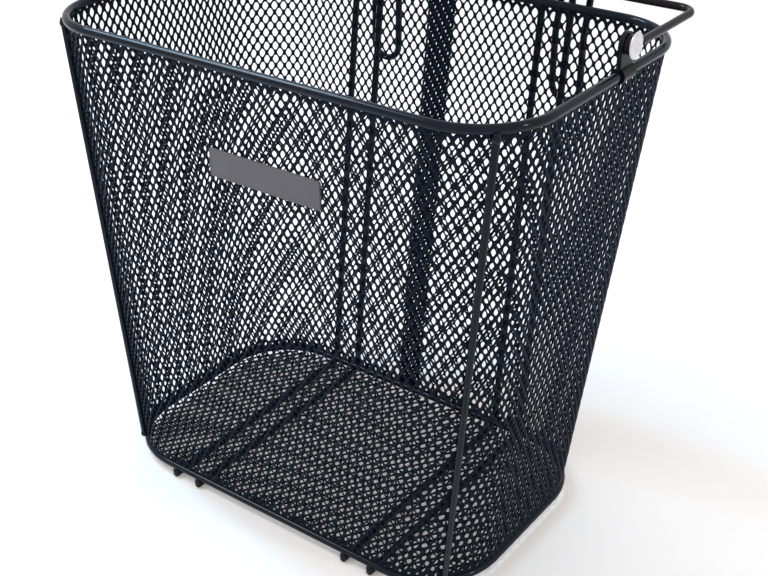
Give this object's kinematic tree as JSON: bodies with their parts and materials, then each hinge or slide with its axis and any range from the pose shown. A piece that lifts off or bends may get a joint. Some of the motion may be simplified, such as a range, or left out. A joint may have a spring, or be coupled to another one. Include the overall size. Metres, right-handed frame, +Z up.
{
  "type": "handlebar basket",
  "caption": "Black expanded-mesh bicycle basket with a wire rim, two wire hooks for a handlebar, a blank name plate and a folding wire handle.",
  "frame": {"origin": "on the surface that the basket stands on, in the middle of its outer box", "axes": "+Z up, +Y back towards the handlebar, +X across the basket's width"},
  "size_m": [0.37, 0.2632, 0.3579],
  "materials": {
    "wire_black": "gloss",
    "mesh_black": "semi gloss",
    "rivet_zinc": "zinc plated",
    "grip_black": "matte",
    "washer_nylon": "matte",
    "plate_grey": "satin"
  },
  "bodies": {
    "basket": {"rim_ring": "wire_black", "bottom_ring": "wire_black", "wall_mesh": "mesh_black", "floor_mesh": "mesh_black", "front_corner_wire_right": "wire_black", "front_corner_wire_left": "wire_black", "hook_wire_right": "wire_black", "hook_wire_left": "wire_black", "handle_bracket_right": "wire_black", "handle_bracket_left": "wire_black", "pivot_washer_right": "washer_nylon", "pivot_washer_left": "washer_nylon", "pivot_rivet_right": "rivet_zinc", "pivot_rivet_left": "rivet_zinc", "name_plate": "plate_grey", "plate_backing": "plate_grey"},
    "handle": {"handle_bail": "wire_black", "handle_grip": "grip_black"}
  },
  "joints": [
    {"name": "bail_swing", "type": "hinge", "parent": "basket", "child": "handle", "pos_m": [0, 0.0004, 0.3494], "axis": [1, 0, 0], "range_deg": [-7, 187]}
  ]
}
